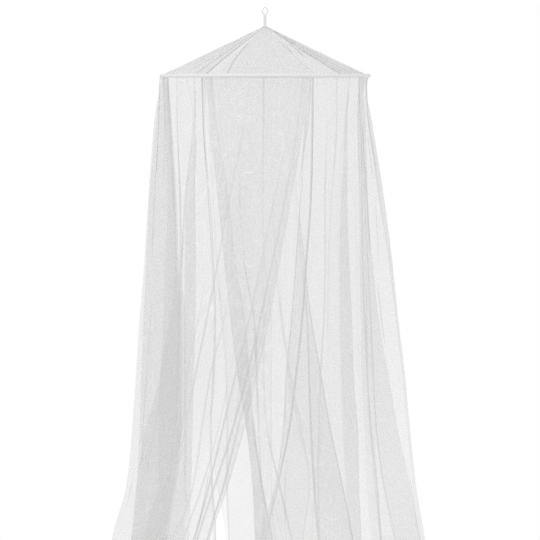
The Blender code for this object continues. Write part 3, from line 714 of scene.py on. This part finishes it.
def make_cone(material):
    table = [dict(zip(CONE_COLUMNS, row)) for row in CONE]
    foot_r, tip_r = HOOP_R - 0.0030, 0.0042
    foot_z = HOOP_Z + 0.0023  # its lower edge is sewn into the top of the sleeve
    tip_z = cone_hi.z - 0.0030
    shares = [0.0, 0.006, 0.014, 0.025, 0.04, 0.06, 0.085, 0.115] + [0.15 + 0.80 * i / 40 for i in range(41)]
    shares += [0.965, 0.978, 0.987, 0.993, 0.997, 1.0]
    inner, total = 8, len(table)
    # the third list holds the painted fold shade of each vertex
    rows, counts, pressed_and_fold_shade = [], [], []
    for s in shares:
        radius = tip_r + (foot_r - tip_r) * s
        level = tip_z + (foot_z - tip_z) * s - 0.0008 * math.sin(math.pi * s)
        level += 0.0010 * (1 - smooth(s / 0.03))  # the neck is drawn up round the strap
        points, count, fold_shade_row = [], [], []
        angles = [eased((row["tip"], row["mid"], row["foot"]), (0.0, 0.35, 1.0), s) for row in table]
        for i, row in enumerate(table):
            j = (i + 1) % total
            start, end = angles[i], angles[j] + (360 if j == 0 else 0)
            before = start - (angles[i - 1] - (360 if i == 0 else 0))
            here = end - start
            k2 = (j + 1) % total
            after = (angles[k2] + (360 if k2 <= j else 0)) - (angles[j] + (0)) if j else angles[1] - angles[0]
            pull_a = 0.0 if before * here <= 0 else 2 * before * here / (before + here)
            pull_b = 0.0 if after * here <= 0 else 2 * after * here / (after + here)
            length = max(math.radians(abs(here)) * radius, 0.0005)
            w, v = row["width"] / 1000 / length, table[j]["width"] / 1000 / length
            w = min(w if pull_a else math.sqrt(w / 3), 1 / 6)  # the curve starts slowly where the cloth turns back
            v = min(v if pull_b else math.sqrt(v / 3), 1 / 6)
            at = [0.0, w, 2 * w] + [2 * w + (1 - 2 * v - 2 * w) * k / (inner + 1) for k in range(1, inner + 1)] + [1 - 2 * v, 1 - v]
            for k, t in enumerate(at):
                p, q = (1 + 2 * t) * (1 - t) ** 2, t * (1 - t) ** 2
                r, z = t * t * (3 - 2 * t), t * t * (t - 1)
                turn = math.radians(start * p + pull_a * q + end * r + pull_b * z)
                lift = (row["lift"] * (1 - smooth(t)) + table[j]["lift"] * smooth(t)) / 1000
                lift *= math.sin(math.pi * min(max(s, 0.0), 1.0)) ** 0.5
                wave = 0.0009 * math.sin((i + t) * 5.3 + 1.2 * math.sin(3 * s)) * smooth(s / 0.2) * smooth((1 - s) / 0.04)
                pucker = 0.0012 * math.sin((i + t) * 17.0) * math.exp(-(1 - s) / 0.05) * smooth((1 - s) / 0.012)
                tuft = 0.0006 * math.sin(turn * 14) * math.exp(-s / 0.03)
                rr = radius + tuft
                points.append((rr * math.sin(turn), -rr * math.cos(turn), level + lift + wave + pucker))
                n = row["n"]
                on = smooth((s - row["low"]) / 0.06 + 1) * smooth((row["high"] - s) / 0.06 + 1)
                on_next = smooth((s - table[j]["low"]) / 0.06 + 1) * smooth((table[j]["high"] - s) / 0.06 + 1)
                if k == 0:
                    n = (row["n"] + table[i - 1]["n"]) / 2 + row["c"] * on
                elif k == 1:
                    n += row["c"] * 0.5 * on
                elif k == len(at) - 1:
                    n += table[j]["c"] * 0.5 * on_next
                n *= 1 + 2.2 * math.exp(-s / 0.035)
                n += 0.8 * math.exp(-(1 - s) / 0.010)
                count.append(n)
                # painted shade: lines with much extra yarn also get a darker colour, standing in for the shade in the
                # folds
                near = {0: row["c"] * on, 1: row["c"] * 0.6 * on, len(at) - 1: table[j]["c"] * 0.6 * on_next}.get(k, 0.0)
                fold_shade_row.append(min(near / 5, 1.0))
        rows.append(points)
        counts.append(count)
        pressed_and_fold_shade.append(fold_shade_row)
    points = np.array(rows)
    steps = np.linalg.norm(np.diff(points, axis=1), axis=2)
    along = np.concatenate([np.zeros((len(shares), 1)), np.cumsum(steps, axis=1)], axis=1)
    slope = math.hypot(foot_r - tip_r, foot_z - tip_z)
    down = np.repeat((np.array(shares) * slope)[:, None], points.shape[1], axis=1)
    bias = math.radians(11)  # the net is cut off the straight
    cloth = np.stack([(along * math.cos(bias) + down * math.sin(bias)) * 1000, (down * math.cos(bias) - along * math.sin(bias)) * 1000], axis=-1)
    piece = grid_mesh("net_top", points, np.array(counts), closed=True, cloth=cloth, painted_fold_shade=np.array(pressed_and_fold_shade))
    piece.data.materials.append(material)
    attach(piece, "root")
    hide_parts("canopy_top")
    return piece


# ---------------------------------------------------------------- ring, strap, sleeve


def make_ring(material):
    wire = (ring_hi.y - ring_lo.y) / 2
    mid = (ring_lo + ring_hi) / 2
    half_w = (ring_hi.x - ring_lo.x) / 2 - wire
    half_h = (ring_hi.z - ring_lo.z) / 2 - wire
    count, sides = 128, 20
    rows = []
    for i in range(count):
        turn = 2 * math.pi * i / count
        out = Vector((math.sin(turn) / half_w, 0, math.cos(turn) / half_h)).normalized()
        centre = Vector((mid.x + half_w * math.sin(turn), mid.y, mid.z + half_h * math.cos(turn)))
        away = min(abs(turn - math.pi * 0.62), 2 * math.pi - abs(turn - math.pi * 0.62))
        weld = 0.00022 * math.exp(-((away / 0.09) ** 2))  # the welded joint
        r = wire * (1 + 0.015 * math.sin(5 * turn)) - 0.00006 + weld
        rows.append([tuple(centre + out * (r * math.cos(2 * math.pi * k / sides)) + Vector((0, 1, 0)) * (r * math.sin(2 * math.pi * k / sides)))
                     for k in range(sides)])
    rows.append(rows[0])
    points = np.array(rows)
    mesh = bpy.data.meshes.new("ring_wire")
    index = np.arange(count * sides).reshape(count, sides)
    a, b = index, np.roll(index, -1, axis=1)
    c, d = np.roll(b, -1, axis=0), np.roll(a, -1, axis=0)
    faces = np.stack([a, b, c, d], axis=-1).reshape(-1, 4)
    mesh.from_pydata(points[:-1].reshape(-1, 3).tolist(), [], faces.tolist())
    mesh.shade_smooth()
    piece = bpy.data.objects.new("ring_wire", mesh)
    bpy.context.scene.collection.objects.link(piece)
    bm = bmesh.new()
    bm.from_mesh(mesh)
    bmesh.ops.recalc_face_normals(bm, faces=bm.faces)
    bm.to_mesh(mesh)
    bm.free()
    mesh.materials.append(material)
    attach(piece, "root")
    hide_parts("hanging_ring")
    return piece


def make_strap(material, thread):
    """Tape folded over the ring's lower bar, its tails stitched together and sewn into the top of the net."""
    wire = (ring_hi.y - ring_lo.y) / 2
    bar = ring_lo.z + wire
    half_w = (ring_hi.x - ring_lo.x) / 2 - wire
    half_h = (ring_hi.z - ring_lo.z) / 2 - wire
    thick = 0.0010
    width = (strap_hi.x - strap_lo.x) / 2
    loop = wire + 0.0013
    half = 0.00115
    end = cone_hi.z - 0.0080  # the tails are sewn inside the tip of the net
    profile = [(half, end + (bar - 0.0135 - end) * k / 14) for k in range(15)]
    profile += [(half + (loop * 0.98 - half) * smooth(k / 6), bar - 0.0135 + 0.0105 * k / 6) for k in range(1, 7)]
    radius = loop + thick / 2
    profile += [(radius * math.cos(math.radians(a)), bar + radius * math.sin(math.radians(a))) for a in range(-14, 195, 16)]
    profile += [(-y, z) for y, z in reversed(profile[:21])]
    across = [-1 + 2 * k / 16 for k in range(17)]
    rows = []
    lengths = [0.0]
    for a, b in zip(profile, profile[1:]):
        lengths.append(lengths[-1] + math.hypot(b[0] - a[0], b[1] - a[1]))
    for i, (y, z) in enumerate(profile):
        share = min(max((z - end) / (bar - end), 0.0), 1.0)
        row = []
        for side in across:
            wobble = 0.00012 * math.sin(lengths[i] * 900 + 2) + 0.0001 * math.sin(lengths[i] * 2400)
            x = side * (width * (0.87 + 0.13 * share) - 0.0001) + wobble
            rise = half_h * (1 - math.sqrt(max(0.0, 1 - (x / half_w) ** 2)))
            near = min(max((z - bar + 0.0135) / 0.0100, 0.0), 1.0)
            rib = 0.00005 * math.cos(side * math.pi * 6)
            cup = 0.00025 * side * side * (1 - near)
            row.append((x, y + (cup + rib) * (1 if y > 0 else -1), z + rise * near))
        rows.append(row)
    points = np.array(rows)
    u = np.repeat(np.array([s * width * 1000 for s in across])[None, :], len(profile), axis=0)
    v = np.repeat(np.array(lengths)[:, None] * 1000, len(across), axis=1)
    piece = grid_mesh("strap_tape", points, np.zeros(points.shape[:2]), cloth=np.stack([u, v], axis=-1))
    shell = piece.modifiers.new("Tape", "SOLIDIFY")
    shell.thickness = thick
    shell.offset = 0.0
    soft = piece.modifiers.new("Soft edge", "BEVEL")
    soft.width = 0.00025
    soft.segments = 2
    soft.limit_method = "ANGLE"
    soft.angle_limit = math.radians(50)
    piece.data.materials.append(material)
    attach(piece, "root")
    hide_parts("hanging_strap")
    return piece, width, bar, half, thick, end, lengths[-1]


def stitch_mesh(name, stitches, material, body="root"):
    """Short raised threads, each a rounded rod between two points that stands off along a direction."""
    verts, faces = [], []
    sides, along = 6, 5
    for start, end, out, thick in stitches:
        start, end, out = Vector(start), Vector(end), Vector(out).normalized()
        run = (end - start).normalized()
        side = run.cross(out).normalized()
        base = len(verts)
        for i in range(along + 1):
            t = i / along
            bow = math.sin(math.pi * t)
            centre = start.lerp(end, t) + out * (thick * (bow * 1.1 - 0.35))
            r = thick * (0.35 + 0.65 * bow)
            for k in range(sides):
                a = 2 * math.pi * k / sides
                verts.append(tuple(centre + side * (r * math.cos(a)) + out * (r * math.sin(a) * 0.8)))
        for i in range(along):
            for k in range(sides):
                a, b = base + i * sides + k, base + i * sides + (k + 1) % sides
                faces.append((a, b, b + sides, a + sides))
        faces.append(tuple(base + k for k in reversed(range(sides))))
        faces.append(tuple(base + along * sides + k for k in range(sides)))
    mesh = bpy.data.meshes.new(name)
    mesh.from_pydata(verts, [], faces)
    bm = bmesh.new()
    bm.from_mesh(mesh)
    bmesh.ops.recalc_face_normals(bm, faces=bm.faces)
    bm.to_mesh(mesh)
    bm.free()
    mesh.shade_smooth()
    piece = bpy.data.objects.new(name, mesh)
    bpy.context.scene.collection.objects.link(piece)
    mesh.materials.append(material)
    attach(piece, body)
    return piece


def make_sleeve(material, thread):
    """The cloth tube round the hoop: slightly gathered along it, seamed underneath, bunched at its mouth, with painted
    shade on its lower front and underside.
    """
    base = HOOP_ROD + 0.0006
    cloth_r = HOOP_ROD + 0.0009
    count, sides = 720, 20
    mouth = math.radians(1.0)
    rows, cloth, shade = [], [], []
    for i in range(count + 1):
        turn = mouth + (2 * math.pi - 2 * mouth) * i / count
        away = min(turn, 2 * math.pi - turn)
        near = math.exp(-((away / math.radians(3.2)) ** 2))
        pucker = 0.00028 * math.sin(turn * 173 + 2 * math.sin(turn * 7)) + 0.00018 * math.sin(turn * 91 + 1)
        row, flat, dark = [], [], []
        for k in range(sides):
            around = 2 * math.pi * k / sides
            ruck = pucker * (0.6 + 0.4 * math.sin(around * 2 + turn * 5)) + 0.0013 * near + 0.0004 * near * math.sin(turn * 700 + 2 * math.sin(around))
            down = max(0.0, -math.sin(around))
            seam_dent_and_painted_shade = 0.0004 * math.exp(-(((around - 1.5 * math.pi) / 0.35) ** 2))
            r = cloth_r + ruck - seam_dent_and_painted_shade * 0.5
            r = max(r, base)
            out = HOOP_R + r * math.cos(around)
            row.append((out * math.cos(turn), out * math.sin(turn), HOOP_Z + r * math.sin(around)))
            flat.append((turn * HOOP_R * 1000, around * cloth_r * 1000))
            # painted shade: a darker band along the lower front and a little more on the underside, where the tube is
            # in shade
            dark.append(0.12 * math.exp(-(((around - 1.36 * math.pi) / 0.22) ** 2)) + 0.03 * down)
        rows.append(row)
        cloth.append(flat)
        shade.append(dark)
    points = np.array(rows)
    piece = grid_mesh("sleeve_cloth", points, np.array(shade), closed=True, cloth=np.array(cloth))
    shell = piece.modifiers.new("Cloth", "SOLIDIFY")
    shell.thickness = 0.0004
    shell.offset = -1.0
    piece.data.materials.append(material)
    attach(piece, "root")
    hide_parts("hoop_sleeve")
    return piece, cloth_r


# ---------------------------------------------------------------- build
net = make_net_material("net_yarn")
tape = make_cloth_material("tape_weave", (0.95, 0.95, 0.95), (0.86, 0.86, 0.87), 0.5, 0.00012)
sleeve_cotton = make_cloth_material("sleeve_weave", (0.93, 0.93, 0.925), (0.85, 0.85, 0.85), 0.45, 0.00010)
thread_white = make_cloth_material("thread_twist", (0.86, 0.86, 0.86), (0.70, 0.70, 0.70), 0.2, 0.00005)
wire_coat = make_coat_material("wire_coat", (0.86, 0.86, 0.85), 0.35, 0.4)
rod_coat = make_coat_material("rod_coat", (0.86, 0.86, 0.84), 0.45, 0.2)

ring = make_ring(wire_coat)
strap, strap_w, bar_z, tail_y, tape_t, tail_end, strap_long = make_strap(tape, thread_white)
stitches = []
front_y = -(tail_y + tape_t / 2 + 0.00012)
for sign, y in ((-1, front_y), (1, -front_y)):
    out = (0, sign, 0)
    top_z, low_z, edge = bar_z - 0.0135, bar_z - 0.0215, strap_w * 0.62
    for k in range(6):
        z = top_z - (top_z - low_z) * (k + 0.15) / 6
        for x in (-edge, edge):
            stitches.append(((x, y, z), (x, y, z - 0.0010), out, 0.00022))
    for k in range(4):
        x = -edge + 2 * edge * (k + 0.15) / 4
        for z in (top_z, low_z):
            stitches.append(((x, y, z), (x + 0.0011, y, z), out, 0.00022))
stitch_mesh("strap_stitches", stitches, thread_white)

cone = make_cone(net)
sleeve, sleeve_r = make_sleeve(sleeve_cotton, thread_white)
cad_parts["hoop"].data.materials.clear()
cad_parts["hoop"].data.materials.append(rod_coat)

panels = {}
for node_name, rows, seed, lean in (("skirt_left", LEFT, 1.3, 7.0), ("skirt_right", RIGHT, 4.1, -9.0), ("skirt_back", BACK, 7.7, 2.5)):
    piece, wide, mean, long, section = make_panel("net_" + node_name[6:], read_table(rows), seed, lean, net)
    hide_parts(node_name)
    panels[node_name] = (piece, wide, mean, long, section)
creases = make_tucks({name: panel[4] for name, panel in panels.items()}, net)
for node_name, (piece, wide, mean, long, section) in panels.items():
    print("panel", node_name, "hem", round(wide, 3), "mean", round(mean, 3), "drop", round(long, 3))

# ---------------------------------------------------------------- floor, light and camera
floor_mesh = bpy.data.meshes.new("floor")
bm = bmesh.new()
bmesh.ops.create_circle(bm, cap_ends=True, radius=25.0, segments=128)
bm.to_mesh(floor_mesh)
bm.free()
floor = bpy.data.objects.new("floor", floor_mesh)
floor.location = (0, 0, HEM_Z - 0.004)
bpy.context.scene.collection.objects.link(floor)
floor_finish, _, _, floor_shader = new_material("floor_matt")
floor_shader.inputs["Base Color"].default_value = (0.93, 0.93, 0.93, 1.0)
floor_shader.inputs["Roughness"].default_value = 0.9
floor_shader.inputs["Specular IOR Level"].default_value = 0.1
floor_mesh.materials.append(floor_finish)

scene = bpy.context.scene
world = bpy.data.worlds.new("studio")
scene.world = world
world.use_nodes = True
nodes, links = world.node_tree.nodes, world.node_tree.links
for node in list(nodes):
    nodes.remove(node)
out = nodes.new("ShaderNodeOutputWorld")
seen = nodes.new("ShaderNodeBackground")
seen.inputs["Color"].default_value = (1, 1, 1, 1)
seen.inputs["Strength"].default_value = 1.0
lit = nodes.new("ShaderNodeBackground")
lit.inputs["Color"].default_value = (1, 1, 1, 1)
lit.inputs["Strength"].default_value = 0.74
world.cycles.sampling_method = "NONE"
path = nodes.new("ShaderNodeLightPath")
mix = nodes.new("ShaderNodeMixShader")
links.new(path.outputs["Is Camera Ray"], mix.inputs[0])
links.new(lit.outputs[0], mix.inputs[1])
links.new(seen.outputs[0], mix.inputs[2])
links.new(mix.outputs[0], out.inputs[0])

top_light = bpy.data.lights.new("soft_top", "SUN")
top_light.energy = 0.75
top_light.angle = math.radians(50)
top_object = bpy.data.objects.new("soft_top", top_light)
top_object.rotation_euler = (math.radians(22), math.radians(-16), 0)
scene.collection.objects.link(top_object)

camera_data = bpy.data.cameras.new("camera")
camera_data.sensor_width = 36.0
distance = 60.0
# The view is 1.543 m wide at the object: from just above the ring down to 1.52 m below it.
camera_data.lens = 36.0 * distance / 1.5429
camera_data.clip_start = 1.0
camera_data.clip_end = 300.0
camera = bpy.data.objects.new("camera", camera_data)
camera.location = (0.0143, -distance, -0.45)  # a little below the hoop, aimed at the middle of the view
camera.rotation_euler = (math.radians(90) - math.atan((0.7486 - 0.45) / distance), 0, 0)
scene.collection.objects.link(camera)
scene.camera = camera

scene.view_settings.view_transform = "Standard"
scene.cycles.transparent_max_bounces = 96
scene.cycles.use_denoising = True
scene.cycles.denoising_prefilter = "NONE"  # keeps the net's own grain
scene.cycles.max_bounces = 8
scene.cycles.diffuse_bounces = 4
